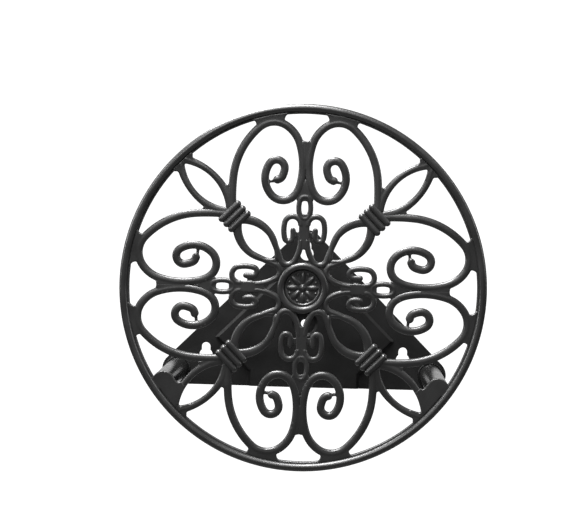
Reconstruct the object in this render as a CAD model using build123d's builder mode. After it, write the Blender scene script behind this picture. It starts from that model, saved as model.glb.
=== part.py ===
from build123d import *
from math import cos, radians, sin, sqrt
import os

# Wall-mounted garden hose holder. A round scrollwork face stands off a triangular wall plate on
# two tubular arms, and the coiled hose hangs over the arms, between the plate and the face.
# Millimetres. The wall is the plane Y = 0, the face looks along -Y and +Z is up.
# The origin is the centre of the upper keyhole's entry hole, on the wall.

# ---------------------------------------------------------------- overall sizes
face_diameter = 330.0  # outside of the ring
face_standoff = 155.0  # wall to the back of the scrollwork
strand_depth = 6.0  # front to back of every scroll strand

# ---------------------------------------------------------------- ring
ring_width = 8.8
ring_proud = 2.6  # the ring stands this far out of the strands at the front
ring_rounding = 2.6

# ---------------------------------------------------------------- scrollwork, in its design size
# Every outline below is drawn about the face centre with one spoke straight up, for a ring of this
# inner radius, and is scaled with the ring. A strand is a chain of tangent arcs, each given as
# (radius, angle turned through, 1 for a left turn or -1 for a right turn).
design_ring_radius = 156.2

scroll_width = 7.2
scroll_start = (64.8, 69.3)
scroll_heading = 85.1
scroll_arcs = (
    (170.0, 9.7, 1), (68.7, 43.0, 1), (20.3, 75.5, 1), (29.2, 39.0, 1), (68.0, 31.5, 1),
    (25.8, 21.0, 1), (13.8, 100.5, 1), (22.9, 79.0, 1), (7.4, 155.0, 1), (25.0, 14.0, 1), (5.5, 64.0, 1),
)
tip_web = ((25.5, 93.0), (34.5, 92.6), (34.5, 97.2), (25.5, 97.6))  # from the curl's tip to its turn
crotch_web = ((0, 108.0), (0, 132.0), (3.6, 132.4), (5.2, 124.0), (3.4, 108.0))  # along the spoke
pad = ((19.8, 145.5), (30.0, 148.3), (38.0, 146.0), (45.4, 140.5), (45.4, 160.0), (19.8, 160.0))

small_width = 5.0
small_start = (3.3, 55.8)
small_heading = 97.7
small_arcs = ((7.3, 176.5, -1), (31.9, 25.0, -1), (3.75, 163.0, -1), (52.0, 7.0, -1))
hook_web = ((4.0, 45.0), (8.6, 44.6), (8.6, 50.6), (4.0, 50.0))
eyelet_body = ((0, 60.0), (7.7, 66.5), (7.9, 80.0), (0, 96.0))
eyelet_center = 72.1
eyelet_half_width = 3.0
eyelet_half_height = 7.8
spoke_half_width = 4.7
spoke_bottom = 34.0
spoke_top = 66.0

petal_strand_width = 5.4
petal_start = (2.7, 43.2)
petal_heading = -90.5
petal_arcs = ((34.5, 34.0, 1), (7.0, 128.0, 1), (147.5, 8.0, -1), (26.6, 30.0, -1))
# Petals and leaves are pointed ovals on the diagonals: (middle from the face centre, distance of
# each arc's centre from the diagonal, arc radius).
petal_oval = (61.3, 17.0, 33.2)
petal_hole = (58.2, 18.9, 28.4)
leaf_oval = (125.4, 49.6, 64.8)
leaf_hole = (127.2, 35.5, 44.6)
leaf_pad_start = 147.0
leaf_pad_width = 18.8

collar_start = 79.4
collar_length = 18.8
collar_width = 25.8
bezel_inner_radius = 16.7
bezel_width = 6.2

# ---------------------------------------------------------------- collars and hub, front to back
collar_ribs = 3
collar_proud = 1.8  # ribs stand this far out of the strands, front and back
collar_rounding = 2.2
bezel_proud = 1.3
bezel_rounding = 2.2
hub_floor = 1.6
medallion_thickness = 3.0
medallion_clearance = 0.2  # on the radius
rosette_petals = 8
rosette_relief = 1.0
rosette_boss_radius = 2.8
rosette_petal_place = 9.2  # petal centres from the hub's axis
rosette_petal_half_length = 5.0
rosette_petal_half_width = 2.0

# ---------------------------------------------------------------- arms and their joints
arm_diameter = 21.0
arm_wall = 1.5
lug_angle = 35.6  # of each arm's axis below the horizontal, seen from the face centre
lug_inset = 4.3  # arm axis inside the ring's inner edge
lug_shoulder = (-3.9, 8.5)  # ends of the lug's straight edge, from the arm axis
lug_waist = (-13.8, -1.8)
lug_leaf_side = ((141.0, 10.0), (158.0, 6.0))  # along and across the diagonal, inside leaf and ring
lug_ring_side = ((158.0, 4.5), (160.0, -1.0))  # radius from the face centre, angle below the arm
weld_size = 2.2
spigot_length = 16.0
spigot_clearance = 0.2  # on the radius, in the arm's bore
screw_diameter = 5.0
screw_head_diameter = 8.5
screw_head_height = 2.8
screw_head_rounding = 1.0
screw_hole_clearance = 0.25  # on the radius
screw_setback = 9.0  # screw axis behind the lug
screw_bite = 8.0  # thread length in the spigot
screw_key_depth = 1.6
screw_key_radius = 1.7

# ---------------------------------------------------------------- wall plate
plate_thickness = 2.5
plate_corner_radius = 15.0  # its lower corners are concentric with the arms
keyhole_drop = 29.4  # upper entry hole below the plate's sharp apex
keyhole_low_rise = 29.0  # lower entry holes above the bottom edge
keyhole_spacing = 192.0
keyhole_entry_diameter = 13.0
keyhole_slot_width = 8.4
keyhole_slot_rise = 8.2  # slot end above the entry hole's centre
panel_lift = 4.0  # the pressed centre panel stands this far off the rim
panel_rim = 17.8  # flat rim along the sloping sides
panel_keyhole_gap = 2.1
panel_top_gap = 14.0  # below the upper entry hole
panel_ramp = 2.6  # width of the press ramp from rim to panel
panel_mouth = 108.0  # the panel runs out at the bottom edge this wide
seat_rise = 62.3  # a round seat pressed back to the wall, above the bottom edge
seat_diameter = 20.0
seat_hole_diameter = 8.0

# ---------------------------------------------------------------- derived sizes and places
ring_outer_radius = face_diameter / 2
ring_inner_radius = ring_outer_radius - ring_width
design_scale = ring_inner_radius / design_ring_radius
bezel_radius = (bezel_inner_radius + bezel_width) * design_scale
hub_radius = bezel_inner_radius * design_scale
arm_radius = arm_diameter / 2
spigot_radius = arm_radius - arm_wall - spigot_clearance
arm_reach = ring_inner_radius - lug_inset
arm_x = arm_reach * cos(radians(lug_angle))
arm_fall = arm_reach * sin(radians(lug_angle))  # arm axis below the face centre
entry_radius = keyhole_entry_diameter / 2
screw_radius = screw_diameter / 2
plate_apex = arm_x + plate_corner_radius * (1 + sqrt(2))  # sharp apex above the bottom edge
plate_bottom = keyhole_drop - plate_apex
arm_z = plate_bottom + plate_corner_radius
face_z = arm_z + arm_fall
keyhole_low_z = plate_bottom + keyhole_low_rise
seat_z = plate_bottom + seat_rise
panel_half_width = keyhole_spacing / 2 - entry_radius - panel_keyhole_gap
panel_top = -entry_radius - panel_top_gap
panel_apex = keyhole_drop - panel_rim * sqrt(2)  # where its upper edges would meet
panel_heel = 2 * panel_half_width - panel_apex  # where its lower edges would meet, below the origin
plate_front = -plate_thickness
face_back = -face_standoff
screw_y = face_back + screw_setback

SPOKES = {"top": 0, "left": 90, "bottom": 180, "right": 270}  # turns of the face, seen from the front
CORNERS = {"upper_right": 0, "upper_left": 90, "lower_left": 180, "lower_right": 270}
DIAGONAL = Plane(origin=(0, 0, 0), x_dir=(1, 1, 0), z_dir=(-1, 1, 0))  # of the drawing, between spokes

os.makedirs("parts", exist_ok=True)


def write(builder, name):
    """Label one finished piece and write it as its own STEP file."""
    builder.part.label = name
    export_step(builder.part, f"parts/{name}.step")


def wall_plane(y):
    """The wall's drawing plane at depth y, seen from the front, with its origin at the keyhole."""
    return Plane(origin=(0, y, 0), x_dir=(1, 0, 0), z_dir=(0, -1, 0))


def face_plane(y, turn=0):
    """The face's drawing plane at depth y, turned counter-clockwise as seen from the front."""
    across = (cos(radians(turn)), 0, sin(radians(turn)))
    return Plane(origin=(0, y, face_z), x_dir=across, z_dir=(0, -1, 0))


def on_diagonal(along, across):
    """The drawing's x and y of a point given along and to the left of its diagonal."""
    return ((along - across) / sqrt(2), (along + across) / sqrt(2))


def beside(point, heading, offset):
    """The point that lies an offset to the left of a heading."""
    normal = radians(heading + 90)
    return (point[0] + offset * cos(normal), point[1] + offset * sin(normal))


def along_arc(point, heading, radius, sweep, turn):
    """The end of an arc that leaves a point along a heading, and the heading there."""
    center = beside(point, heading, radius * turn)
    finish = heading + turn * sweep
    return beside(center, finish, -radius * turn), finish


def strand(start, heading, arcs, width):
    """Draw a strand of even width in the open sketch, square at its start and round at its tip."""
    half = width / 2
    here = (start, heading)
    with BuildLine() as edges:
        Line(beside(*here, half), beside(*here, -half))
        for radius, sweep, turn in arcs:
            middle = along_arc(*here, radius, sweep / 2, turn)
            finish = along_arc(*here, radius, sweep, turn)
            for edge in (half, -half):
                ThreePointArc(beside(*here, edge), beside(*middle, edge), beside(*finish, edge))
            here = finish
        nose = beside(here[0], here[1] - 90, half)
        ThreePointArc(beside(*here, half), nose, beside(*here, -half))
    make_face(edges.edges())


def oval(middle, offset, radius, mode=Mode.ADD):
    """Draw the pointed oval between two equal arcs, lying along the drawing's diagonal."""
    reach = sqrt(radius**2 - offset**2)
    rise = radius - offset
    with BuildLine() as edges:
        for crown in (rise, -rise):
            ThreePointArc(
                on_diagonal(middle - reach, 0), on_diagonal(middle, crown), on_diagonal(middle + reach, 0)
            )
    make_face(edges.edges(), mode=mode)


def outline(points):
    """Draw a straight-sided outline in the open sketch."""
    with BuildLine() as edges:
        Polyline(*points, close=True)
    make_face(edges.edges())


def stand_off(drawing, turn=0):
    """Give the open part a drawing's outline, at its real size and place in the face."""
    with BuildSketch(face_plane(face_back, turn)) as placed:
        add(drawing.sketch)
        scale(by=design_scale)
    extrude(placed.sketch, amount=strand_depth)


# ---------------------------------------------------------------- drawings of the face's pieces
with BuildSketch() as inside_ring:
    Circle(design_ring_radius)

with BuildSketch() as hub_area:
    Circle(bezel_inner_radius + bezel_width)

with BuildSketch() as collar_area:
    with Locations(on_diagonal(collar_start + collar_length / 2, 0)):
        Rectangle(collar_length, collar_width, rotation=45)

with BuildSketch() as right_scroll:
    strand(scroll_start, scroll_heading, scroll_arcs, scroll_width)
    for web in (tip_web, crotch_web, pad):
        outline(web)
    with Locations((-design_ring_radius / 2, 0)):
        Rectangle(design_ring_radius, 2 * design_ring_radius, mode=Mode.SUBTRACT)
    add(inside_ring.sketch, mode=Mode.INTERSECT)
    add(collar_area.sketch, mode=Mode.SUBTRACT)

with BuildSketch() as left_scroll:
    mirror(right_scroll.sketch, about=Plane.YZ)

with BuildSketch() as neighbour_scroll:
    mirror(right_scroll.sketch, about=DIAGONAL)

with BuildSketch() as link_drawing:
    strand(small_start, small_heading, small_arcs, small_width)
    outline(hook_web)
    outline(eyelet_body)
    mirror(about=Plane.YZ)
    with Locations((0, (spoke_bottom + spoke_top) / 2)):
        Rectangle(2 * spoke_half_width, spoke_top - spoke_bottom)
    with Locations((0, eyelet_center)):
        Ellipse(eyelet_half_width, eyelet_half_height, mode=Mode.SUBTRACT)
    add(right_scroll.sketch, mode=Mode.SUBTRACT)
    add(left_scroll.sketch, mode=Mode.SUBTRACT)

with BuildSketch() as neighbour_link:
    mirror(link_drawing.sketch, about=DIAGONAL)

with BuildSketch() as petal_drawing:
    strand(petal_start, petal_heading, petal_arcs, petal_strand_width)
    mirror(about=DIAGONAL)
    oval(*petal_oval)
    oval(*petal_hole, mode=Mode.SUBTRACT)
    for neighbour in (link_drawing, neighbour_link, hub_area, collar_area):
        add(neighbour.sketch, mode=Mode.SUBTRACT)

with BuildSketch() as leaf_drawing:
    oval(*leaf_oval)
    with Locations(on_diagonal((leaf_pad_start + design_ring_radius) / 2, 0)):
        Rectangle(design_ring_radius - leaf_pad_start, leaf_pad_width, rotation=45)
    oval(*leaf_hole, mode=Mode.SUBTRACT)
    add(inside_ring.sketch, mode=Mode.INTERSECT)
    for neighbour in (right_scroll, neighbour_scroll, collar_area):
        add(neighbour.sketch, mode=Mode.SUBTRACT)

# The right lug fills the wedge between the ring and the lower right leaf, round the arm's end.
lug_center = (arm_x / design_scale, -arm_fall / design_scale)
with BuildSketch() as lug_drawing:
    with Locations(lug_center):
        Circle(arm_radius / design_scale)
    shoulder = [(lug_center[0] + x / design_scale, lug_center[1] + y / design_scale)
                for x, y in (lug_shoulder, lug_waist)]
    leaf_side = [((along + across) / sqrt(2), (across - along) / sqrt(2)) for along, across in lug_leaf_side]
    ring_side = [(radius * cos(radians(lug_angle + fall)), -radius * sin(radians(lug_angle + fall)))
                 for radius, fall in lug_ring_side]
    outline(shoulder + leaf_side + ring_side)
    add(inside_ring.sketch, mode=Mode.INTERSECT)
    add(leaf_drawing.sketch, rotation=-90, mode=Mode.SUBTRACT)

# ---------------------------------------------------------------- ring
# Pads and lugs butt on a square land on its inner edge, as deep as they are.
ring_depth = strand_depth + ring_proud
with BuildPart() as outer_ring:
    with BuildSketch(Plane.XY.offset(face_z)):
        with Locations((ring_outer_radius - ring_width / 2, face_back - ring_depth / 2)):
            RectangleRounded(ring_width, ring_depth, ring_rounding)
        with Locations((ring_inner_radius + ring_rounding / 2, face_back - strand_depth / 2)):
            Rectangle(ring_rounding, strand_depth)
    revolve(axis=Axis((0, 0, face_z), (0, 1, 0)))
write(outer_ring, "outer_ring")

# ---------------------------------------------------------------- scrolls, links, petals and leaves
for place, turn in SPOKES.items():
    for hand, drawing in (("right", right_scroll), ("left", left_scroll)):
        with BuildPart() as scroll:
            stand_off(drawing, turn)
        write(scroll, f"scroll_{place}_{hand}_hand")
    with BuildPart() as link:
        stand_off(link_drawing, turn)
    write(link, f"link_{place}")

for place, turn in CORNERS.items():
    with BuildPart() as petal:
        stand_off(petal_drawing, turn)
    write(petal, f"petal_{place}")
    with BuildPart() as leaf:
        stand_off(leaf_drawing, turn)
    write(leaf, f"leaf_{place}")

# ---------------------------------------------------------------- collars
rib_width = collar_length / collar_ribs * design_scale
rib_depth = strand_depth + 2 * collar_proud
for place, turn in CORNERS.items():
    across_collar = Plane(
        origin=(0, face_back - strand_depth / 2, face_z),
        x_dir=(cos(radians(turn + 45)), 0, sin(radians(turn + 45))),
        z_dir=(-sin(radians(turn + 45)), 0, cos(radians(turn + 45))),
    )
    with BuildPart() as collar:
        with BuildSketch(across_collar):
            for rib in range(collar_ribs):
                with Locations((collar_start * design_scale + (rib + 0.5) * rib_width, 0)):
                    RectangleRounded(rib_width, rib_depth, collar_rounding)
            with Locations(((collar_start + collar_length / 2) * design_scale, 0)):
                Rectangle(collar_length * design_scale, strand_depth)
        extrude(amount=collar_width / 2 * design_scale, both=True)
    write(collar, f"collar_{place}")

# ---------------------------------------------------------------- hub
bezel_back = face_back + bezel_proud
bezel_depth = strand_depth + 2 * bezel_proud
floor_front = bezel_back - hub_floor
with BuildPart() as hub_bezel:
    with BuildSketch(face_plane(bezel_back)):
        Circle(bezel_radius)
    extrude(amount=bezel_depth)
    with BuildSketch(face_plane(floor_front)):
        Circle(hub_radius)
    extrude(amount=bezel_depth - hub_floor, mode=Mode.SUBTRACT)
    fillet(hub_bezel.edges().filter_by(GeomType.CIRCLE).group_by(Axis.Y)[0], bezel_rounding)
write(hub_bezel, "hub_bezel")

with BuildPart() as medallion:
    with BuildSketch(face_plane(floor_front)):
        Circle(hub_radius - medallion_clearance)
    extrude(amount=medallion_thickness)
    with BuildSketch(face_plane(floor_front - medallion_thickness)):
        Circle(rosette_boss_radius * design_scale)
        with PolarLocations(rosette_petal_place * design_scale, rosette_petals):
            Ellipse(rosette_petal_half_length * design_scale, rosette_petal_half_width * design_scale)
    extrude(amount=rosette_relief)
write(medallion, "medallion")

# ---------------------------------------------------------------- lugs, arms, welds and screws
with BuildPart() as lug:
    stand_off(lug_drawing)
    with BuildSketch(wall_plane(face_back)):
        with Locations((arm_x, arm_z)):
            Circle(spigot_radius)
    extrude(amount=-spigot_length)
    with BuildSketch(Plane.XY.offset(arm_z - spigot_radius)):
        with Locations((arm_x, screw_y)):
            Circle(screw_radius)
    extrude(amount=screw_bite, mode=Mode.SUBTRACT)

with BuildPart() as arm:
    with BuildSketch(wall_plane(plate_front)):
        with Locations((arm_x, arm_z)):
            Circle(arm_radius)
            Circle(arm_radius - arm_wall, mode=Mode.SUBTRACT)
    extrude(amount=face_standoff - plate_thickness)
    with BuildSketch(Plane.XY.offset(arm_z - arm_radius)):
        with Locations((arm_x, screw_y)):
            Circle(screw_radius + screw_hole_clearance)
    extrude(amount=arm_radius, mode=Mode.SUBTRACT)

with BuildPart() as weld:
    with BuildSketch(Plane.XY.offset(arm_z)):
        toe = arm_x + arm_radius
        outline(((toe, plate_front), (toe + weld_size, plate_front), (toe, plate_front - weld_size)))
    revolve(axis=Axis((arm_x, 0, arm_z), (0, 1, 0)))

for name, right_piece in (("lug", lug), ("arm", arm), ("weld", weld)):
    write(right_piece, f"{name}_right")
    with BuildPart() as left_piece:
        mirror(right_piece.part, about=Plane.YZ)
    write(left_piece, f"{name}_left")

with BuildPart() as arm_screws:
    head_bottom = arm_z - arm_radius - screw_head_height
    with BuildSketch(Plane.XY.offset(head_bottom)):
        with Locations((arm_x, screw_y), (-arm_x, screw_y)):
            Circle(screw_head_diameter / 2)
    extrude(amount=screw_head_height)
    fillet(arm_screws.edges().group_by(Axis.Z)[0], screw_head_rounding)
    with BuildSketch(Plane.XY.offset(arm_z - arm_radius)):
        with Locations((arm_x, screw_y), (-arm_x, screw_y)):
            Circle(screw_radius)
    extrude(amount=arm_radius - spigot_radius + screw_bite)
    with BuildSketch(Plane.XY.offset(head_bottom)):
        with Locations((arm_x, screw_y), (-arm_x, screw_y)):
            RegularPolygon(screw_key_radius, 6)
    extrude(amount=screw_key_depth, mode=Mode.SUBTRACT)
write(arm_screws, "arm_screws")


# ---------------------------------------------------------------- wall plate
def panel_outline(ramp):
    """Draw the pressed panel's outline, drawn in by its ramp, in the open sketch."""
    apex = panel_apex - ramp * sqrt(2)
    heel = panel_heel - ramp * sqrt(2)
    mouth = panel_mouth / 2 - ramp
    top = panel_top - ramp
    right = [(mouth, plate_bottom), (mouth, mouth - heel)]
    right += [((apex + heel) / 2, (apex - heel) / 2), (apex - top, top)]
    outline(right + [(-x, z) for x, z in reversed(right)])


with BuildPart() as wall_plate:
    with BuildSketch(wall_plane(0)) as plate_outline:
        outline(((-plate_apex, plate_bottom), (plate_apex, plate_bottom), (0, keyhole_drop)))
        fillet(plate_outline.vertices(), plate_corner_radius)
    extrude(amount=plate_thickness)
    for back, mode in ((plate_front, Mode.ADD), (0, Mode.SUBTRACT)):
        with BuildSketch(wall_plane(back)):
            panel_outline(0)
        with BuildSketch(wall_plane(back - panel_lift)):
            panel_outline(panel_ramp)
        loft(mode=mode)
    seat_radius = seat_diameter / 2
    seat_rim = seat_radius + panel_ramp
    with BuildSketch(wall_plane(-panel_lift)):
        with Locations((0, seat_z)):
            Circle(seat_rim)
    extrude(amount=plate_thickness, mode=Mode.SUBTRACT)
    with BuildSketch(Plane.XY.offset(seat_z)):
        outline((
            (0, 0), (seat_radius, 0), (seat_rim, -panel_lift), (seat_rim, plate_front - panel_lift),
            (seat_radius, plate_front), (0, plate_front),
        ))
    revolve(axis=Axis((0, 0, seat_z), (0, 1, 0)))
    with BuildSketch(wall_plane(0)):
        for x, z in ((0, 0), (keyhole_spacing / 2, keyhole_low_z), (-keyhole_spacing / 2, keyhole_low_z)):
            with Locations((x, z)):
                Circle(entry_radius)
            with Locations((x, z + keyhole_slot_rise / 2)):
                SlotCenterToCenter(keyhole_slot_rise, keyhole_slot_width, rotation=90)
        with Locations((0, seat_z)):
            Circle(seat_hole_diameter / 2)
    extrude(amount=plate_thickness, mode=Mode.SUBTRACT)
write(wall_plate, "wall_plate")
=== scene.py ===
"""Wall-mounted garden hose holder: its visual meshes, finishes and studio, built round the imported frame."""
import logging
import math
from dataclasses import dataclass, field
from enum import Enum
from typing import Any, Callable, Iterable, Sequence

import bmesh
import bpy
from mathutils import Matrix, Vector


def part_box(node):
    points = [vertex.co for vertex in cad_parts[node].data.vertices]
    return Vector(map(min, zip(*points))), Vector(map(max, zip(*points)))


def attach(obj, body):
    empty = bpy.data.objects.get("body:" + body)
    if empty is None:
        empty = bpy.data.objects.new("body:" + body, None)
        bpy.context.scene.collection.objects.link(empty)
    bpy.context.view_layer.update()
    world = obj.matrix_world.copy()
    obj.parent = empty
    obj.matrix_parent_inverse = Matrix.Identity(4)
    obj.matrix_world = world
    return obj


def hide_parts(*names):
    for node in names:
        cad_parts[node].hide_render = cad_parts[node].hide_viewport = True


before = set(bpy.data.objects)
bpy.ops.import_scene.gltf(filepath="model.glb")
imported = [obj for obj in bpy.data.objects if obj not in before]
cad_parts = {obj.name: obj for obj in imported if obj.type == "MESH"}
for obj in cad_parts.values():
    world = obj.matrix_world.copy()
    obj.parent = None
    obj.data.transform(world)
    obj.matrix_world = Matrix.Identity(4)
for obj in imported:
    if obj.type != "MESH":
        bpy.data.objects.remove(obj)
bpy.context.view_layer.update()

log = logging.getLogger("hose_holder")

MM = 0.001
Point = tuple[float, float]
Place = tuple[float, float, float]
Arc = tuple[float, float, int]
Outline = tuple[Point, ...]


# ------------ small helpers


def linear(hex_colour: str) -> tuple[float, float, float, float]:
    """Turn an sRGB hex colour into the linear colour that shaders read.

    Args:
        hex_colour: Six hex digits, with or without a leading hash.

    Returns:
        Linear red, green and blue, and an alpha of 1.
    """
    digits = hex_colour.lstrip("#")
    channels = [int(digits[i:i + 2], 16) / 255 for i in (0, 2, 4)]
    red, green, blue = (c / 12.92 if c <= 0.04045 else ((c + 0.055) / 1.055) ** 2.4 for c in channels)
    return red, green, blue, 1.0


def add_node(tree: bpy.types.NodeTree, kind: str, inputs: dict[Any, Any] | None = None,
             **settings: Any) -> bpy.types.Node:
    """Add one shader node with its settings, constants and links.

    Args:
        tree: The node tree.
        kind: The node's type, such as ShaderNodeBump.
        inputs: Socket name or number to a constant, or to the output socket that feeds it.
        **settings: Properties of the node itself.

    Returns:
        The new node.
    """
    node = tree.nodes.new(kind)
    for name, value in settings.items():
        setattr(node, name, value)
    for socket, value in (inputs or {}).items():
        if isinstance(value, bpy.types.NodeSocket):
            tree.links.new(value, node.inputs[socket])
        else:
            node.inputs[socket].default_value = value
    return node


def per_metre(size_mm: float) -> float:
    """The texture scale at which a pattern repeats about every size_mm millimetres."""
    return 1.0 / (size_mm * MM)


# ------------ finishes


class Process(Enum):
    """How the metal under a coat was made, which the coat lets through."""

    SAND_CAST = "sand cast"
    PRESSED = "pressed sheet"
    DRAWN = "drawn tube"


@dataclass(frozen=True)
class PowderCoat:
    """Polyester powder coat, baked on: an even satin skin with a faint orange peel.

    Each pattern has its size and depth in millimetres and the strength of its relief.
    """

    name: str
    base_hex: str
    # The second colour is painted on sharp corners: partly thinner coat, partly painted edge highlight.
    worn_and_highlight_hex: str
    process: Process
    roughness: float
    ior: float = 1.5
    drift_mm: float = 22.0
    drift: float = 0.12
    gloss_drift: Point = (-0.04, 0.05)
    corner_bend: Point = (0.52, 0.62)
    corner_wear_and_highlight: float = 0.55
    peel_mm: float = 1.5
    peel_depth_mm: float = 0.08
    peel_strength: float = 0.35
    grain_mm: float = 0.55
    grain_depth_mm: float = 0.07
    grain_strength: float = 0.2
    line_mm: float = 0.6
    line_depth_mm: float = 0.02
    line_strength: float = 0.05
    line_stretch: float = 40.0

    def build(self) -> bpy.types.Material:
        """Make the coat's material.

        Returns:
            The material, with its colour drift, lighter corners (thin coat and painted highlight), orange
            peel and the metal's grain.
        """
        material = bpy.data.materials.new(self.name)
        material.use_nodes = True
        tree = material.node_tree
        shader = tree.nodes["Principled BSDF"]
        place = add_node(tree, "ShaderNodeTexCoord").outputs["Object"]
        self.tone(tree, shader, place)
        self.relief(tree, shader, place)
        shader.inputs["IOR"].default_value = self.ior
        return material

    def tone(self, tree: bpy.types.NodeTree, shader: bpy.types.Node, place: bpy.types.NodeSocket) -> None:
        """Give the coat its colour and gloss.

        Args:
            tree: The material's node tree.
            shader: Its shader.
            place: The object coordinates.
        """
        # The coat pools and thins a little over the piece, which drifts its tone and its gloss.
        low, high = 0.3, 0.7
        drift = add_node(tree, "ShaderNodeTexNoise", {
            "Vector": place, "Scale": per_metre(self.drift_mm), "Detail": 2.0}).outputs["Fac"]
        tone = add_node(tree, "ShaderNodeValToRGB", {"Fac": drift})
        dark, light = tone.color_ramp.elements
        base = linear(self.base_hex)[:3]
        dark.position, light.position = low, high
        dark.color = tuple(c * (1 - self.drift) for c in base) + (1.0,)
        light.color = tuple(c * (1 + self.drift) for c in base) + (1.0,)
        # Sharp corners are painted a shade lighter: partly the coat thinning as powder draws back from them
        # while it melts, partly a painted highlight along the edges.
        edge = add_node(tree, "ShaderNodeMapRange", {
            "Value": add_node(tree, "ShaderNodeNewGeometry").outputs["Pointiness"],
            "From Min": self.corner_bend[0], "From Max": self.corner_bend[1], "To Max": self.corner_wear_and_highlight})
        colour = add_node(tree, "ShaderNodeMix", {
            0: edge.outputs["Result"], 6: tone.outputs["Color"], 7: linear(self.worn_and_highlight_hex)}, data_type="RGBA")
        tree.links.new(colour.outputs[2], shader.inputs["Base Color"])
        gloss = add_node(tree, "ShaderNodeMapRange", {
            "Value": drift, "From Min": low, "From Max": high,
            "To Min": self.roughness + self.gloss_drift[0], "To Max": self.roughness + self.gloss_drift[1]})
        tree.links.new(gloss.outputs["Result"], shader.inputs["Roughness"])

    def relief(self, tree: bpy.types.NodeTree, shader: bpy.types.Node, place: bpy.types.NodeSocket) -> None:
        """Give the coat its orange peel, and what shows through it of the metal.

        Args:
            tree: The material's node tree.
            shader: Its shader.
            place: The object coordinates.
        """
        # Orange peel: the slow waves of a melted powder.
        peel = add_node(tree, "ShaderNodeTexNoise", {
            "Vector": place, "Scale": per_metre(self.peel_mm), "Detail": 1.0})
        bump = add_node(tree, "ShaderNodeBump", {
            "Height": peel.outputs["Fac"], "Strength": self.peel_strength,
            "Distance": self.peel_depth_mm * MM})
        if self.process is Process.SAND_CAST:
            # Sand grain telegraphs through the coat; 0.2 mm grains are drawn coarser so that they show.
            grain = add_node(tree, "ShaderNodeTexVoronoi", {
                "Vector": place, "Scale": per_metre(self.grain_mm)}, feature="SMOOTH_F1")
            bump = add_node(tree, "ShaderNodeBump", {
                "Height": grain.outputs["Distance"], "Strength": self.grain_strength,
                "Distance": self.grain_depth_mm * MM, "Normal": bump.outputs["Normal"]})
        elif self.process is Process.DRAWN:
            # Drawing leaves fine lines along the tube, which the coat nearly fills.
            stretched = add_node(tree, "ShaderNodeMapping", {
                "Vector": place, "Scale": (1.0, 1.0 / self.line_stretch, 1.0)})
            lines = add_node(tree, "ShaderNodeTexNoise", {
                "Vector": stretched.outputs["Vector"], "Scale": per_metre(self.line_mm), "Detail": 2.0})
            bump = add_node(tree, "ShaderNodeBump", {
                "Height": lines.outputs["Fac"], "Strength": self.line_strength,
                "Distance": self.line_depth_mm * MM, "Normal": bump.outputs["Normal"]})
        tree.links.new(bump.outputs["Normal"], shader.inputs["Normal"])


@dataclass(frozen=True)
class BlackOxide:
    """Black oxide on steel: a dark conversion layer, thin enough that the metal still glints."""

    name: str = "black_oxide_steel"
    base_hex: str = "#26272a"
    bright_hex: str = "#5b5e63"
    roughness: float = 0.38
    mottle_mm: float = 1.2
    pit_mm: float = 0.25
    pit_depth_mm: float = 0.04
    pit_strength: float = 0.25

    def build(self) -> bpy.types.Material:
        """Make the material.

        Returns:
            The material, mottled between dark oxide and rubbed steel, with fine pits.
        """
        material = bpy.data.materials.new(self.name)
        material.use_nodes = True
        tree = material.node_tree
        shader = tree.nodes["Principled BSDF"]
        place = add_node(tree, "ShaderNodeTexCoord").outputs["Object"]
        mottle = add_node(tree, "ShaderNodeTexNoise", {
            "Vector": place, "Scale": per_metre(self.mottle_mm), "Detail": 4.0})
        colour = add_node(tree, "ShaderNodeMix", {
            0: mottle.outputs["Fac"], 6: linear(self.base_hex), 7: linear(self.bright_hex)}, data_type="RGBA")
        tree.links.new(colour.outputs[2], shader.inputs["Base Color"])
        pits = add_node(tree, "ShaderNodeTexNoise", {
            "Vector": place, "Scale": per_metre(self.pit_mm), "Detail": 2.0})
        bump = add_node(tree, "ShaderNodeBump", {
            "Height": pits.outputs["Fac"], "Strength": self.pit_strength, "Distance": self.pit_depth_mm * MM})
        tree.links.new(bump.outputs["Normal"], shader.inputs["Normal"])
        shader.inputs["Metallic"].default_value = 1.0
        shader.inputs["Roughness"].default_value = self.roughness
        return material


# ------------ drawing


def on_diagonal(along: float, across: float) -> Point:
    """The drawing's x and y of a point given along and to the left of its upper right diagonal."""
    return (along - across) / math.sqrt(2), (along + across) / math.sqrt(2)


def on_lower_diagonal(along: float, across: float) -> Point:
    """The drawing's x and y of a point given along and to the left of its lower right diagonal."""
    return (along + across) / math.sqrt(2), (across - along) / math.sqrt(2)


def circle_points(x: float, y: float, radius: float, start: float, end: float, count: int) -> list[Point]:
    """Points on a circle from one angle to another, in degrees, both ends included."""
    angles = [math.radians(start + (end - start) * i / (count - 1)) for i in range(count)]
    return [(x + radius * math.cos(a), y + radius * math.sin(a)) for a in angles]


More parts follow.
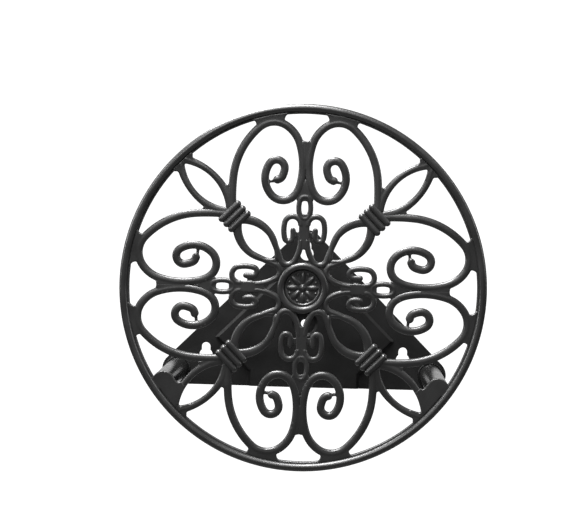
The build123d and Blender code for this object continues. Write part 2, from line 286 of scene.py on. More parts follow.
@dataclass(frozen=True)
class Strand:
    """A strand of even width: a chain of tangent arcs, square at its start and round at its tip.

    Each arc is (radius, angle turned through, 1 for a left turn or -1 for a right turn).
    """

    start: Point
    heading: float
    arcs: tuple[Arc, ...]
    width: float
    tip_steps: int = 6
    tip_swing: float = 87.0

    def rails(self, step: float = 1.3) -> tuple[list[Point], list[Point]]:
        """Sample the strand's two edges.

        Args:
            step: Distance between samples along the middle, in millimetres.

        Returns:
            The left edge and the right edge, as equally long lists.
        """
        x, y = self.start
        angle = math.radians(self.heading)
        middle = [(x, y, angle, self.width / 2)]
        for radius, sweep, turn in self.arcs:
            turned = math.radians(sweep)
            count = max(2, math.ceil(radius * turned / step))
            cx, cy = x - turn * radius * math.sin(angle), y + turn * radius * math.cos(angle)
            for i in range(1, count + 1):
                here = angle + turn * turned * i / count
                middle.append((cx + turn * radius * math.sin(here), cy - turn * radius * math.cos(here),
                               here, self.width / 2))
            x, y, angle, _ = middle[-1]
        # The round tip stops short of a quarter turn, so that its last section keeps some width.
        for i in range(1, self.tip_steps + 1):
            swing = math.radians(min(90 * i / self.tip_steps, self.tip_swing))
            reach = self.width / 2 * math.sin(swing)
            middle.append((x + reach * math.cos(angle), y + reach * math.sin(angle), angle,
                           self.width / 2 * math.cos(swing)))
        left = [(px - h * math.sin(a), py + h * math.cos(a)) for px, py, a, h in middle]
        right = [(px + h * math.sin(a), py - h * math.cos(a)) for px, py, a, h in middle]
        return left, right


@dataclass(frozen=True)
class Oval:
    """A pointed oval between two equal arcs, lying on the drawing's diagonal."""

    middle: float
    offset: float
    radius: float

    @property
    def reach(self) -> float:
        """Half its length."""
        return math.sqrt(self.radius ** 2 - self.offset ** 2)

    def half_width(self, along: float) -> float:
        """Half its width at a place along the diagonal, below zero past its ends."""
        return math.sqrt(max(self.radius ** 2 - (along - self.middle) ** 2, 0)) - self.offset

    def walls(self, hole: "Oval", low: float, high: float, lap: float = 0.3,
              count: int = 44) -> list[tuple[list[Point], list[Point]]]:
        """The edges of the two walls between this oval and the hole in it.

        Args:
            hole: The hole.
            low: Where the walls start, along the diagonal.
            high: Where they end.
            lap: How far the walls lap over the diagonal past the hole's ends.
            count: Number of points on each edge.

        Returns:
            The outside and the inside edge of the left wall, and then of the right one.
        """
        places = [low + (high - low) * i / (count - 1) for i in range(count)]
        return [([on_diagonal(along, hand * self.half_width(along)) for along in places],
                 [on_diagonal(along, hand * max(hole.half_width(along), -lap)) for along in places])
                for hand in (1, -1)]


@dataclass(frozen=True)
class Section:
    """A strand's cross-section: its height off the face's back, its crown and its corner radii.

    A narrow strand takes smaller corners, a lower top and a flatter crown.
    """

    height: float = 6.0
    crown: float = 0.25
    rounding: float = 2.0
    back: float = 0.0
    back_rounding: float = 0.8
    front_share: float = 0.48
    back_share: float = 0.3
    sag: float = 0.6
    full_width: float = 6.0
    corner_steps: int = 4

    def loop(self, width: float) -> list[Point]:
        """The section's outline for a given width.

        Args:
            width: The strand's width there.

        Returns:
            Points (distance from the left edge, height), once round.
        """
        front = min(self.rounding, width * self.front_share)
        rear = min(self.back_rounding, width * self.back_share)
        top = self.height - (self.rounding - front) * self.sag
        steps = [i * math.pi / 2 / self.corner_steps for i in range(self.corner_steps + 1)]
        left = [(front - front * math.cos(a), top - front + front * math.sin(a)) for a in steps]
        crown = [(width / 2, top + self.crown * min(1.0, width / self.full_width))]
        rear_left = [(rear - rear * math.sin(a), self.back + rear - rear * math.cos(a)) for a in steps]
        half = rear_left + left
        return half + crown + [(width - s, h) for s, h in reversed(half)]


class Casting:
    """Gathers overlapping closed solids and melts them into one smooth cast skin, in millimetres.

    The drawing's x and y become X and Z, and height off the face's back becomes -Y.
    """

    sharpest = 40.0

    def __init__(self) -> None:
        """Start empty."""
        self.mesh = bmesh.new()

    def loft(self, rings: Sequence[Sequence[Place]], closed: bool = False) -> None:
        """Skin a row of equal rings.

        Args:
            rings: Each ring's points (x, y, height), the same number in each.
            closed: True if the last ring joins the first, False to cap both ends.
        """
        rows = [[self.mesh.verts.new((x, -height, y)) for x, y, height in ring] for ring in rings]
        count = len(rows[0])
        pairs = list(zip(rows, rows[1:])) + ([(rows[-1], rows[0])] if closed else [])
        faces = []
        for one, two in pairs:
            for i in range(count):
                j = (i + 1) % count
                faces.append(self.mesh.faces.new((one[i], one[j], two[j], two[i])))
        if not closed:
            faces.append(self.mesh.faces.new(rows[0]))
            faces.append(self.mesh.faces.new(rows[-1]))
        bmesh.ops.recalc_face_normals(self.mesh, faces=faces)

    def ribbon(self, left: Sequence[Point], right: Sequence[Point], section: Section,
               closed: bool = False) -> None:
        """Run a section between two edges.

        Args:
            left: The left edge's points.
            right: The right edge's points, one for each of the left's.
            section: The cross-section, fitted to the width at each point.
            closed: True for a loop.
        """
        rings = []
        for (lx, ly), (rx, ry) in zip(left, right):
            width = math.hypot(rx - lx, ry - ly)
            ux, uy = (rx - lx) / width, (ry - ly) / width
            rings.append([(lx + ux * s, ly + uy * s, h) for s, h in section.loop(width)])
        self.loft(rings, closed)

    def slab(self, points: Sequence[Point], top: float, bottom: float = 0.0) -> None:
        """Add a flat web with the given outline, between two heights."""
        self.loft([[(x, y, bottom) for x, y in points], [(x, y, top) for x, y in points]])

    def revolve(self, profile: Sequence[Point], segments: int,
                ripple: Callable[[float], float] | None = None) -> None:
        """Turn a closed profile about the drawing's centre.

        Args:
            profile: Points (radius, height), once round.
            segments: Number of steps in the turn.
            ripple: Optional factor on the height at an angle in radians.
        """
        rings = []
        for i in range(segments):
            angle = 2 * math.pi * i / segments
            lift = ripple(angle) if ripple else 1.0
            rings.append([(r * math.cos(angle), r * math.sin(angle), h * lift) for r, h in profile])
        self.loft(rings, closed=True)

    def blob(self, center: Place, radii: Place, turn: float = 0.0) -> None:
        """Add an ellipsoid: centre and radii in the drawing's x, y and height, turned in degrees."""
        place = (Matrix.Translation((center[0], -center[2], center[1]))
                 @ Matrix.Rotation(-math.radians(turn), 4, "Y")
                 @ Matrix.Diagonal((radii[0], radii[2], radii[1], 1.0)))
        bmesh.ops.create_uvsphere(self.mesh, u_segments=24, v_segments=14, radius=1.0, matrix=place)

    def bar(self, center: Place, size: Place, rounding: float, turn: float = 0.0) -> None:
        """Add a bar with rounded edges: centre and size in x, y and height, turned in degrees."""
        place = (Matrix.Translation((center[0], -center[2], center[1]))
                 @ Matrix.Rotation(-math.radians(turn), 4, "Y")
                 @ Matrix.Diagonal((size[0], size[2], size[1], 1)))
        made = bmesh.ops.create_cube(self.mesh, size=1.0, matrix=place)
        edges = list({edge for vert in made["verts"] for edge in vert.link_edges})
        bmesh.ops.bevel(self.mesh, geom=edges, offset=rounding, segments=5, profile=0.5, affect="EDGES")

    def clip(self, normal: Place, through: Place) -> None:
        """Keep what lies on the far side of a plane, and close the cut.

        Args:
            normal: The plane's normal, towards what stays.
            through: A point on it.
        """
        geometry = self.mesh.verts[:] + self.mesh.edges[:] + self.mesh.faces[:]
        bmesh.ops.bisect_plane(self.mesh, geom=geometry, plane_co=through, plane_no=normal, clear_inner=True)
        bmesh.ops.holes_fill(self.mesh, edges=self.mesh.edges, sides=0)

    def plain(self, name: str) -> bpy.types.Mesh:
        """Hand over the mesh as drawn, smooth shaded but for its sharp corners."""
        mesh = bpy.data.meshes.new(name)
        self.mesh.to_mesh(mesh)
        self.mesh.free()
        mesh.shade_smooth()
        mesh.set_sharp_from_angle(angle=math.radians(self.sharpest))
        return mesh

    def melt(self, name: str, voxel: float = 0.5, passes: int = 4) -> bpy.types.Mesh:
        """Fuse what was gathered into one skin and soften its corners.

        Args:
            name: Name of the mesh.
            voxel: Size of the skin's cells, in millimetres.
            passes: Smoothing passes, each softening corners by about half a cell.

        Returns:
            The fused mesh, in millimetres.
        """
        holder = bpy.data.objects.new(name, self.plain(name + "_parts"))
        bpy.context.scene.collection.objects.link(holder)
        fuse = holder.modifiers.new("fuse", "REMESH")
        fuse.mode, fuse.voxel_size, fuse.use_smooth_shade = "VOXEL", voxel, True
        soften = holder.modifiers.new("soften", "SMOOTH")
        soften.factor, soften.iterations = 0.5, passes
        graph = bpy.context.evaluated_depsgraph_get()
        mesh = bpy.data.meshes.new_from_object(holder.evaluated_get(graph))
        mesh.name = name
        rough = holder.data
        bpy.data.objects.remove(holder)
        bpy.data.meshes.remove(rough)
        return mesh


def show(name: str, mesh: bpy.types.Mesh, material: bpy.types.Material, slot: str, *nodes: str) -> None:
    """Put a finished mesh in the scene as the visible form of some CAD nodes.

    Args:
        name: The piece's name.
        mesh: Its mesh, in metres and in the row frame.
        material: Its finish.
        slot: The record's material slot; not used.
        *nodes: The CAD nodes that it stands for.
    """
    mesh.materials.clear()
    mesh.materials.append(material)
    piece = bpy.data.objects.new(name, mesh)
    bpy.context.scene.collection.objects.link(piece)
    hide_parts(*nodes)
    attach(piece, "root")
    log.info("%s: %d faces, for %s", name, len(mesh.polygons), ", ".join(nodes))


# ------------ the face's elements
#
# Each is drawn in the design's millimetres about the face's centre, with a spoke straight up.


@dataclass(frozen=True)
class Ring:
    """The ring: a raised round bead with a thin lower lip inside it."""

    outer: float = 165.0
    crease: float = 157.9
    inner: float = 156.2
    height: float = 8.6
    bead_rise: float = 0.9
    bead_start: float = 12.0
    bead_steps: int = 14
    segments: int = 300
    # Points (distance out from the inner wall, height) and (distance in from the outside, height).
    lip: Outline = ((0.0, 0.7), (0.0, 4.4), (0.3, 5.0), (0.9, 5.3), (1.6, 5.2))
    back: Outline = ((0.0, 1.4), (0.5, 0.4), (1.4, 0.0), (8.1, 0.0))

    def mesh(self) -> bpy.types.Mesh:
        """Turn the ring's profile."""
        casting = Casting()
        half = (self.outer - self.crease) / 2
        rise = half * self.bead_rise
        span = 180 - 2 * self.bead_start
        angles = [math.radians(self.bead_start + span * i / self.bead_steps)
                  for i in range(self.bead_steps + 1)]
        bead = [(self.crease + half - half * math.cos(a), self.height - rise + rise * math.sin(a))
                for a in angles]
        lip = [(self.inner + out, height) for out, height in self.lip]
        back = [(self.outer - into, height) for into, height in self.back]
        casting.revolve(lip + bead + back, self.segments)
        return casting.plain("ring")


@dataclass(frozen=True)
class Scroll:
    """One right-hand large scroll, with its ring pad, the bridge at its tip and its crotch web."""

    path: Strand = Strand((64.8, 69.3), 85.1, (
        (170.0, 9.7, 1), (68.7, 43.0, 1), (20.3, 75.5, 1), (29.2, 39.0, 1), (68.0, 31.5, 1),
        (25.8, 21.0, 1), (13.8, 100.5, 1), (22.9, 79.0, 1), (7.4, 155.0, 1), (25.0, 14.0, 1),
        (5.5, 64.0, 1)), 7.2)
    tip_center: Place = (25.0, 96.4, 3.05)
    tip_radii: Place = (3.5, 3.5, 3.05)
    bridge: Outline = ((26.5, 94.2), (34.5, 93.6), (34.5, 96.2), (26.5, 96.8))
    bridge_heights: Point = (4.6, 0.5)
    crotch: Outline = ((-1.5, 106.0), (-1.5, 131.5), (2.6, 132.2), (5.4, 126.0), (4.6, 106.0))
    pad: Outline = (
        (19.8, 144.0), (30.0, 146.0), (38.0, 143.8), (45.4, 138.6), (45.4, 146.2), (46.2, 148.2),
        (48.8, 149.4), (49.0, 150.4), (33.0, 154.8), (16.8, 157.3), (16.8, 155.9), (19.0, 153.9),
        (19.8, 151.6))
    web_heights: Point = (5.95, 0.3)
    overlap: float = 0.7

    def mesh(self) -> bpy.types.Mesh:
        """Cast the scroll, cut so that the two hands overlap a little on the spoke."""
        casting = Casting()
        casting.ribbon(*self.path.rails(), Section())
        casting.blob(self.tip_center, self.tip_radii)
        casting.slab(self.bridge, *self.bridge_heights)
        casting.slab(self.crotch, *self.web_heights)
        casting.slab(self.pad, *self.web_heights)
        casting.clip((1.0, 0.0, 0.0), (-self.overlap, 0.0, 0.0))
        return casting.melt("scroll")


@dataclass(frozen=True)
class Link:
    """One link: two small scrolls, the inner spoke, an eyelet and the gusset above it."""

    path: Strand = Strand((3.3, 55.8), 97.7, (
        (7.3, 176.5, -1), (31.9, 25.0, -1), (3.75, 163.0, -1), (52.0, 7.0, -1)), 5.0)
    section: Section = Section(height=5.9, rounding=1.6, crown=0.2, back=0.12)
    hook: Outline = ((4.0, 45.2), (8.8, 44.8), (8.8, 50.4), (4.0, 49.8))
    hook_heights: Point = (4.6, 0.5)
    gusset: Outline = ((0.0, 78.0), (6.4, 77.0), (8.2, 80.0), (7.4, 83.5), (0.0, 97.0))
    gusset_heights: Point = (5.5, 0.4)
    eyelet_center: float = 72.1
    eyelet_hole: Point = (3.0, 7.8)
    eyelet_body: Point = (7.7, 12.2)
    eyelet_squareness: Point = (0.7, 0.9)
    eyelet_section: Section = Section(height=5.9, rounding=1.8, crown=0.2, back=0.12)
    eyelet_steps: int = 40
    spoke: Outline = (
        (-4.7, 33.0), (0.0, 34.6), (4.7, 33.0), (4.8, 56.0), (6.2, 66.5), (-6.2, 66.5), (-4.8, 56.0))
    spoke_heights: Point = (5.65, 0.2)
    sampling: float = 0.9
    skin: float = 0.45

    def mesh(self) -> bpy.types.Mesh:
        """Cast the link."""
        casting = Casting()
        left, right = self.path.rails(self.sampling)
        casting.ribbon(left, right, self.section)
        casting.ribbon([(-x, y) for x, y in right], [(-x, y) for x, y in left], self.section)
        for side in (-1, 1):
            casting.slab([(side * x, y) for x, y in self.hook], *self.hook_heights)
            casting.slab([(side * x, y) for x, y in self.gusset], *self.gusset_heights)
        turn = circle_points(0, 0, 1.0, 0, 360 - 360 / self.eyelet_steps, self.eyelet_steps)
        (hole_x, hole_y), (body_x, body_y) = self.eyelet_hole, self.eyelet_body
        square_x, square_y = self.eyelet_squareness
        inner = [(hole_x * x, self.eyelet_center + hole_y * y) for x, y in turn]
        outer = [(body_x * math.copysign(abs(x) ** square_x, x),
                  self.eyelet_center + body_y * math.copysign(abs(y) ** square_y, y)) for x, y in turn]
        casting.ribbon(outer, inner, self.eyelet_section, closed=True)
        casting.slab(self.spoke, *self.spoke_heights)
        return casting.melt("link", self.skin)


@dataclass(frozen=True)
class Collar:
    """One collar: round ribs bound side by side, proud of the strands at front and back."""

    start: float = 79.4
    length: float = 18.8
    width: float = 25.8
    strand_depth: float = 6.0
    proud: float = 1.8
    ribs: int = 3
    rib_gap: float = 0.1
    rib_rounding: float = 3.05
    core_inset: Point = (2.0, 4.0)
    core_depth: float = 5.4
    core_rounding: float = 1.0
    skin: float = 0.36
    passes: int = 2

    def mesh(self) -> bpy.types.Mesh:
        """Cast the collar."""
        casting = Casting()
        pitch = self.length / self.ribs
        middle = self.strand_depth / 2
        depth = self.strand_depth + 2 * self.proud
        for rib in range(self.ribs):
            x, y = on_diagonal(self.start + (rib + 0.5) * pitch, 0)
            casting.bar((x, y, middle), (pitch - self.rib_gap, self.width, depth), self.rib_rounding, 45)
        x, y = on_diagonal(self.start + self.length / 2, 0)
        core = (self.length - self.core_inset[0], self.width - self.core_inset[1], self.core_depth)
        casting.bar((x, y, middle), core, self.core_rounding, 45)
        return casting.melt("collar", self.skin, self.passes)


@dataclass(frozen=True)
class Petal:
    """One petal: its two walls and the turns that bring them in from the spokes."""

    oval: Oval = Oval(61.3, 17.0, 33.2)
    hole: Oval = Oval(58.2, 18.9, 28.4)
    path: Strand = Strand((2.7, 43.2), -90.5, (
        (34.5, 34.0, 1), (7.0, 128.0, 1), (147.5, 8.0, -1), (26.6, 30.0, -1)), 5.4)
    section: Section = Section(height=5.8, rounding=1.8, back=0.24)
    blunt: float = 1.0
    collar_lap: float = 1.5
    sampling: float = 0.9
    skin: float = 0.45

    def mesh(self, collar: Collar) -> bpy.types.Mesh:
        """Cast the petal, up to and into its collar."""
        casting = Casting()
        low = self.oval.middle - self.oval.reach + self.blunt
        for outside, inside in self.oval.walls(self.hole, low, collar.start + self.collar_lap):
            casting.ribbon(outside, inside, self.section)
        left, right = self.path.rails(self.sampling)
        casting.ribbon(left, right, self.section)
        casting.ribbon([(y, x) for x, y in right], [(y, x) for x, y in left], self.section)
        return casting.melt("petal", self.skin)


@dataclass(frozen=True)
class Leaf:
    """One leaf: its two walls, the pad that joins it to the ring and the webs towards the scrolls.

    The outlines are half ones: (along the diagonal, out from it).
    """

    oval: Oval = Oval(125.4, 49.6, 64.8)
    hole: Oval = Oval(127.2, 35.5, 44.6)
    section: Section = Section(height=5.7, rounding=1.8, back=0.3)
    collar_lap: float = 1.5
    ring_lap: float = 1.2
    pad_start: tuple[float, ...] = (146.0, 149.0, 150.8)
    opening_end: Outline = ((152.4, 2.1), (153.4, 1.2), (153.8, -0.2))
    pad: Outline = ((157.8, -0.2), (157.8, 11.8), (155.4, 11.6), (153.6, 9.6), (151.0, 9.0), (146.0, 8.8))
    pad_heights: Point = (5.75, 0.5)
    web: Outline = (
        (106.5, 11.0), (106.5, 13.5), (110.5, 14.6), (114.8, 17.6), (113.6, 15.8), (114.8, 13.8),
        (110.5, 12.0))
    web_heights: Point = (5.6, 0.5)

    def opening_side(self, places: Iterable[float]) -> list[Point]:
        """One side of the leaf's opening.

        Args:
            places: Distances from the face's centre, along the diagonal.

        Returns:
            Each place with the opening's half width there.
        """
        return [(along, self.hole.half_width(along)) for along in places]

    def mesh(self, collar: Collar, ring: Ring) -> bpy.types.Mesh:
        """Cast the leaf, from inside its collar to inside the ring."""
        casting = Casting()
        low, high = collar.start + collar.length - self.collar_lap, ring.inner + self.ring_lap
        for outside, inside in self.oval.walls(self.hole, low, high):
            casting.ribbon(outside, inside, self.section)
        pad = self.opening_side(self.pad_start) + list(self.opening_end) + list(self.pad)
        for hand in (1, -1):
            casting.slab([on_diagonal(along, hand * across) for along, across in pad], *self.pad_heights)
            casting.slab([on_diagonal(along, hand * across) for along, across in self.web], *self.web_heights)
        return casting.melt("leaf")


@dataclass(frozen=True)
class Hub:
    """The hub: a half-round rim with a back plate, and the medallion set in it.

    The outlines are points (distance in from the edge, height off the back). The rosette's reaches
    and radii are shares of the medallion's radius, its heights are in millimetres.
    """

    inner: float = 16.7
    outer: float = 22.9
    strand_depth: float = 6.0
    proud: float = 1.3
    plate: float = 1.6
    rim_rise: float = 0.8
    rim_steps: int = 14
    axis_hole: float = 0.05
    segments: int = 96
    rim_back: Outline = ((1.2, 0.0), (0.3, 0.4), (0.0, 1.3))
    medallion_gap: float = 0.2
    dish_edge: Outline = ((0.0, 0.0), (0.0, 3.0), (1.6, 3.1), (2.3, 2.4))
    dish_middle: float = 2.6
    petals: int = 8
    petal_reach: float = 0.56
    petal_radii: Point = (0.3, 0.13)
    petal_lift: Point = (2.4, 1.4)
    dot_reach: float = 0.78
    dot_radius: float = 0.9
    button_radius: float = 0.17
    button_lift: Point = (2.5, 1.7)
    skin: float = 0.28
    passes: int = 2

    def bezel_mesh(self) -> bpy.types.Mesh:
        """Turn the rim and its back plate."""
        casting = Casting()
        low, top = -self.proud, self.strand_depth + self.proud
        half = (self.outer - self.inner) / 2
        rise = half * self.rim_rise
        rim = [(self.outer - half + half * math.cos(a), top - rise + rise * math.sin(a))
               for a in (math.radians(180 * i / self.rim_steps) for i in range(self.rim_steps + 1))]
        rim += [(self.inner, low + self.plate), (self.axis_hole, low + self.plate), (self.axis_hole, low)]
        rim += [(self.outer - into, low + height) for into, height in self.rim_back]
        casting.revolve(rim, self.segments)
        return casting.plain("bezel")

    def medallion_mesh(self) -> bpy.types.Mesh:
        """Cast the medallion: a dished disc with a plain rosette of petals, dots and a button."""
        casting = Casting()
        radius, base = self.inner - self.medallion_gap, self.plate - self.proud
        edge = [(radius - into, base + height) for into, height in self.dish_edge]
        dish = [(self.axis_hole, base)] + edge + [(self.axis_hole, base + self.dish_middle)]
        casting.revolve(dish, self.segments)
        (long, wide), (lift, rise) = self.petal_radii, self.petal_lift
        pitch = 360 / self.petals
        for petal in range(self.petals):
            angle = pitch * petal
            x, y = circle_points(0, 0, radius * self.petal_reach, angle, angle, 2)[0]
            casting.blob((x, y, base + lift), (radius * long, radius * wide, rise), angle)
            x, y = circle_points(0, 0, radius * self.dot_reach, angle + pitch / 2, angle + pitch / 2, 2)[0]
            casting.blob((x, y, base + lift), (self.dot_radius, self.dot_radius, self.dot_radius))
        button, (lift, rise) = radius * self.button_radius, self.button_lift
        casting.blob((0, 0, base + lift), (button, button, rise))
        return casting.melt("medallion", self.skin, self.passes)


@dataclass(frozen=True)
class Lug:
    """One right-hand lug: a plate that fills the wedge between ring and leaf, in front of the arm.

    The fillet and the end are points (along the lower diagonal, out from it). The corner is given
    from the arm's axis.
    """

    radius: float = 10.5
    thickness: float = 6.0
    round_angles: Point = (-32.0, 132.0)
    round_steps: int = 18
    corner: Outline = ((-11.7, 1.2), (-13.7, 0.3))
    fillet: Outline = ((137.6, 14.0), (137.6, 9.8))
    opening: tuple[float, ...] = (141.0, 144.0, 147.0, 149.0, 150.8)
    opening_inset: float = 0.3
    end: Outline = ((152.4, 2.4), (153.6, 1.2), (157.0, 1.0))
    ring_lap: float = 0.6
    ring_angles: Point = (-44.0, -36.5)
    ring_steps: int = 6

    def mesh(self, arm: Vector, leaf: Leaf, ring: Ring) -> bpy.types.Mesh:
        """Cast the lug.

        Args:
            arm: The right arm's axis, in the drawing's millimetres.
            leaf: The leaf whose opening it borders.
            ring: The ring that it joins.

        Returns:
            The lug's mesh.
        """
        casting = Casting()
        round_end = circle_points(arm.x, arm.y, self.radius, *self.round_angles, self.round_steps)
        corner = [(arm.x + x, arm.y + y) for x, y in self.corner]
        side = [(along, across + self.opening_inset) for along, across in leaf.opening_side(self.opening)]
        edge = [on_lower_diagonal(*point) for point in list(self.fillet) + side + list(self.end)]
        rim = circle_points(0, 0, ring.crease - self.ring_lap, *self.ring_angles, self.ring_steps)
        casting.slab(round_end + corner + edge + rim, self.thickness)
        return casting.melt("lug")


# ------------ the face


@dataclass
class ScrollFace:
    """The cast face: its elements, each drawn once and seated round the ring."""

    coat: bpy.types.Material
    ring: Ring = Ring()
    scroll: Scroll = Scroll()
    link: Link = Link()
    collar: Collar = Collar()
    petal: Petal = Petal()
    leaf: Leaf = Leaf()
    hub: Hub = Hub()
    lug: Lug = Lug()
    turns: dict[str, int] = field(default_factory=lambda: {
        "top": 0, "left": 90, "bottom": 180, "right": 270})
    corners: dict[str, int] = field(default_factory=lambda: {
        "upper_right": 0, "upper_left": 90, "lower_left": 180, "lower_right": 270})

    def __post_init__(self) -> None:
        """Read the face's place and scale from the ring in the frame."""
        low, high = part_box("outer_ring")
        self.center = Vector(((low[0] + high[0]) / 2, high[1], (low[2] + high[2]) / 2))
        self.scale = (high[0] - low[0]) / 2 / self.ring.outer

    def seat(self, mesh: bpy.types.Mesh, turn: float = 0, mirrored: bool = False) -> bpy.types.Mesh:
        """Copy a drawn mesh to its place in the frame.

        Args:
            mesh: The mesh in design millimetres.
            turn: Counter-clockwise turn of the face, in degrees, seen from the front.
            mirrored: True for its left-hand copy.

        Returns:
            The placed copy, in metres.
        """
        placed = mesh.copy()
        flip = Matrix.Diagonal((-1.0 if mirrored else 1.0, 1.0, 1.0, 1.0))
        placed.transform(Matrix.Translation(self.center) @ Matrix.Rotation(-math.radians(turn), 4, "Y")
                         @ Matrix.Scale(self.scale, 4) @ flip)
        if mirrored:
            placed.flip_normals()
        return placed

    def build(self, arm: Vector) -> None:
        """Make every piece of the face, seat its copies and coat them.

        Args:
            arm: The right arm's axis in the row frame.
        """
        scroll, link, collar = self.scroll.mesh(), self.link.mesh(), self.collar.mesh()
        petal, leaf = self.petal.mesh(self.collar), self.leaf.mesh(self.collar, self.ring)
        put: list[tuple[str, bpy.types.Mesh]] = [("outer_ring", self.seat(self.ring.mesh()))]
        for place, turn in self.turns.items():
            put.append((f"scroll_{place}_right_hand", self.seat(scroll, turn)))
            put.append((f"scroll_{place}_left_hand", self.seat(scroll, turn, mirrored=True)))
            put.append((f"link_{place}", self.seat(link, turn)))
        for place, turn in self.corners.items():
            put.append((f"petal_{place}", self.seat(petal, turn)))
            put.append((f"leaf_{place}", self.seat(leaf, turn)))
            put.append((f"collar_{place}", self.seat(collar, turn)))
        put.append(("hub_bezel", self.seat(self.hub.bezel_mesh())))
        put.append(("medallion", self.seat(self.hub.medallion_mesh())))
        drawn_arm = Vector(((arm.x - self.center.x) / self.scale, (arm.z - self.center.z) / self.scale))
        lug = self.lug.mesh(drawn_arm, self.leaf, self.ring)
        put.append(("lug_right", self.seat(lug)))
        put.append(("lug_left", self.seat(lug, mirrored=True)))
        for node, mesh in put:
            show("cast_" + node, mesh, self.coat, "face_coat", node)
        for mesh in (scroll, link, petal, leaf, collar, lug):
            bpy.data.meshes.remove(mesh)


# ------------ arms


@dataclass
class Arm:
    """One tubular arm with the weld bead that holds it to the plate."""

    side: str
    coat: bpy.types.Material
    wall: float = 1.5 * MM
    edge: float = 0.3 * MM
    segments: int = 96
    stations: int = 12
    bead_lap: float = 0.2 * MM
    bead_swell: float = 0.12
    bead_fill: float = 0.92
    bead_steps: int = 8
    bead_ripples: int = 34
    ripple_depth: float = 0.07

    def __post_init__(self) -> None:
        """Read the tube's and the bead's sizes from the frame."""
        low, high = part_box(f"arm_{self.side}")
        self.axis = Vector(((low[0] + high[0]) / 2, 0.0, (low[2] + high[2]) / 2))
        self.radius = (high[0] - low[0]) / 2
        self.rear, self.front = high[1], low[1]
        weld_low, weld_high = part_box(f"weld_{self.side}")
        self.bead = (weld_high[0] - weld_low[0]) / 2 - self.radius
        self.bead_height = weld_high[1] - weld_low[1]

    def turned(self, name: str, profile: Sequence[Point], segments: int,
               ripple: Callable[[float], float] | None = None) -> bpy.types.Mesh:
        """Turn a profile of (radius, distance from the tube's rear) about the arm's axis.

        Args:
            name: Name of the mesh.
            profile: The closed profile.
            segments: Number of steps in the turn.
            ripple: Optional factor on the distance at each angle.

        Returns:
            The placed mesh, in metres.
        """
        casting = Casting()
        casting.revolve(profile, segments, ripple)
        mesh = casting.plain(name)
        mesh.transform(Matrix.Translation((self.axis.x, self.rear, self.axis.z)))
        return mesh

    def ripple(self, angle: float) -> float:
        """Each stroke of the torch leaves one ripple in the bead."""
        return 1 - self.ripple_depth + self.ripple_depth * abs(math.sin(angle * self.bead_ripples / 2))

    def build(self) -> None:
        """Make the tube and its weld bead."""
        reach = self.rear - self.front
        inner = self.radius - self.wall
        tube = [(inner, 0.0), (inner, reach - self.edge), (inner + self.edge, reach),
                (self.radius - self.edge, reach), (self.radius, reach - self.edge)]
        tube += [(self.radius, reach * (1 - i / self.stations)) for i in range(1, self.stations + 1)]
        show(f"tube_arm_{self.side}", self.turned("tube", tube, self.segments), self.coat, "arm_coat",
             f"arm_{self.side}")
        bead = [(self.radius - self.bead_lap, 0.0), (self.radius - self.bead_lap, self.bead_height)]
        for i in range(self.bead_steps + 1):
            swing = math.radians(90 * i / self.bead_steps)
            swell = self.bead_swell * math.sin(2 * swing)
            bead.append((self.radius + self.bead * (math.sin(swing) + swell) * self.bead_fill,
                         self.bead_height * (math.cos(swing) + swell) * self.bead_fill))
        show(f"bead_weld_{self.side}", self.turned("bead", bead, 2 * self.segments, self.ripple), self.coat,
             "arm_coat", f"weld_{self.side}")


# ------------ wall plate and screws


@dataclass
class WallPlate:
    """The pressed wall plate, with the small radii that a press leaves on its creases and edges."""

    coat: bpy.types.Material
    radius: float = 0.7 * MM
    segments: int = 3
    sharpest: float = 25.0

    def build(self) -> None:
        """Round the solid's creases and edges in place and coat it."""
        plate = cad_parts["wall_plate"]
        plate.data.materials.clear()
        plate.data.materials.append(self.coat)
        rounding = plate.modifiers.new("press_radius", "BEVEL")
        rounding.width, rounding.segments = self.radius, self.segments
        rounding.limit_method, rounding.angle_limit = "ANGLE", math.radians(self.sharpest)
        log.info("wall_plate: rounded %.1f mm, dressed in %s", self.radius / MM, self.coat.name)


@dataclass
class ArmScrews:
    """The screws under the arms, whose solids are right as they are."""

    finish: bpy.types.Material

    def build(self) -> None:
        """Dress the screws."""
        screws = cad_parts["arm_screws"]
        screws.data.materials.clear()
        screws.data.materials.append(self.finish)
        log.info("arm_screws: dressed in %s", self.finish.name)


# ------------ studio


@dataclass(frozen=True)
class SoftBox:
    """A rectangular lamp, hung at an offset from the face and aimed at it."""

    name: str
    offset: Place
    size: Point
    watts: float

    def build(self, face: Vector) -> None:
        """Hang the lamp."""
        data = bpy.data.lights.new(self.name, "AREA")
        data.shape, data.energy = "RECTANGLE", self.watts
        data.size, data.size_y = self.size
        lamp = bpy.data.objects.new(self.name, data)
        lamp.location = face + Vector(self.offset)
        lamp.rotation_mode = "QUATERNION"
        lamp.rotation_quaternion = (-Vector(self.offset)).to_track_quat("-Z", "Y")
        bpy.context.scene.collection.objects.link(lamp)


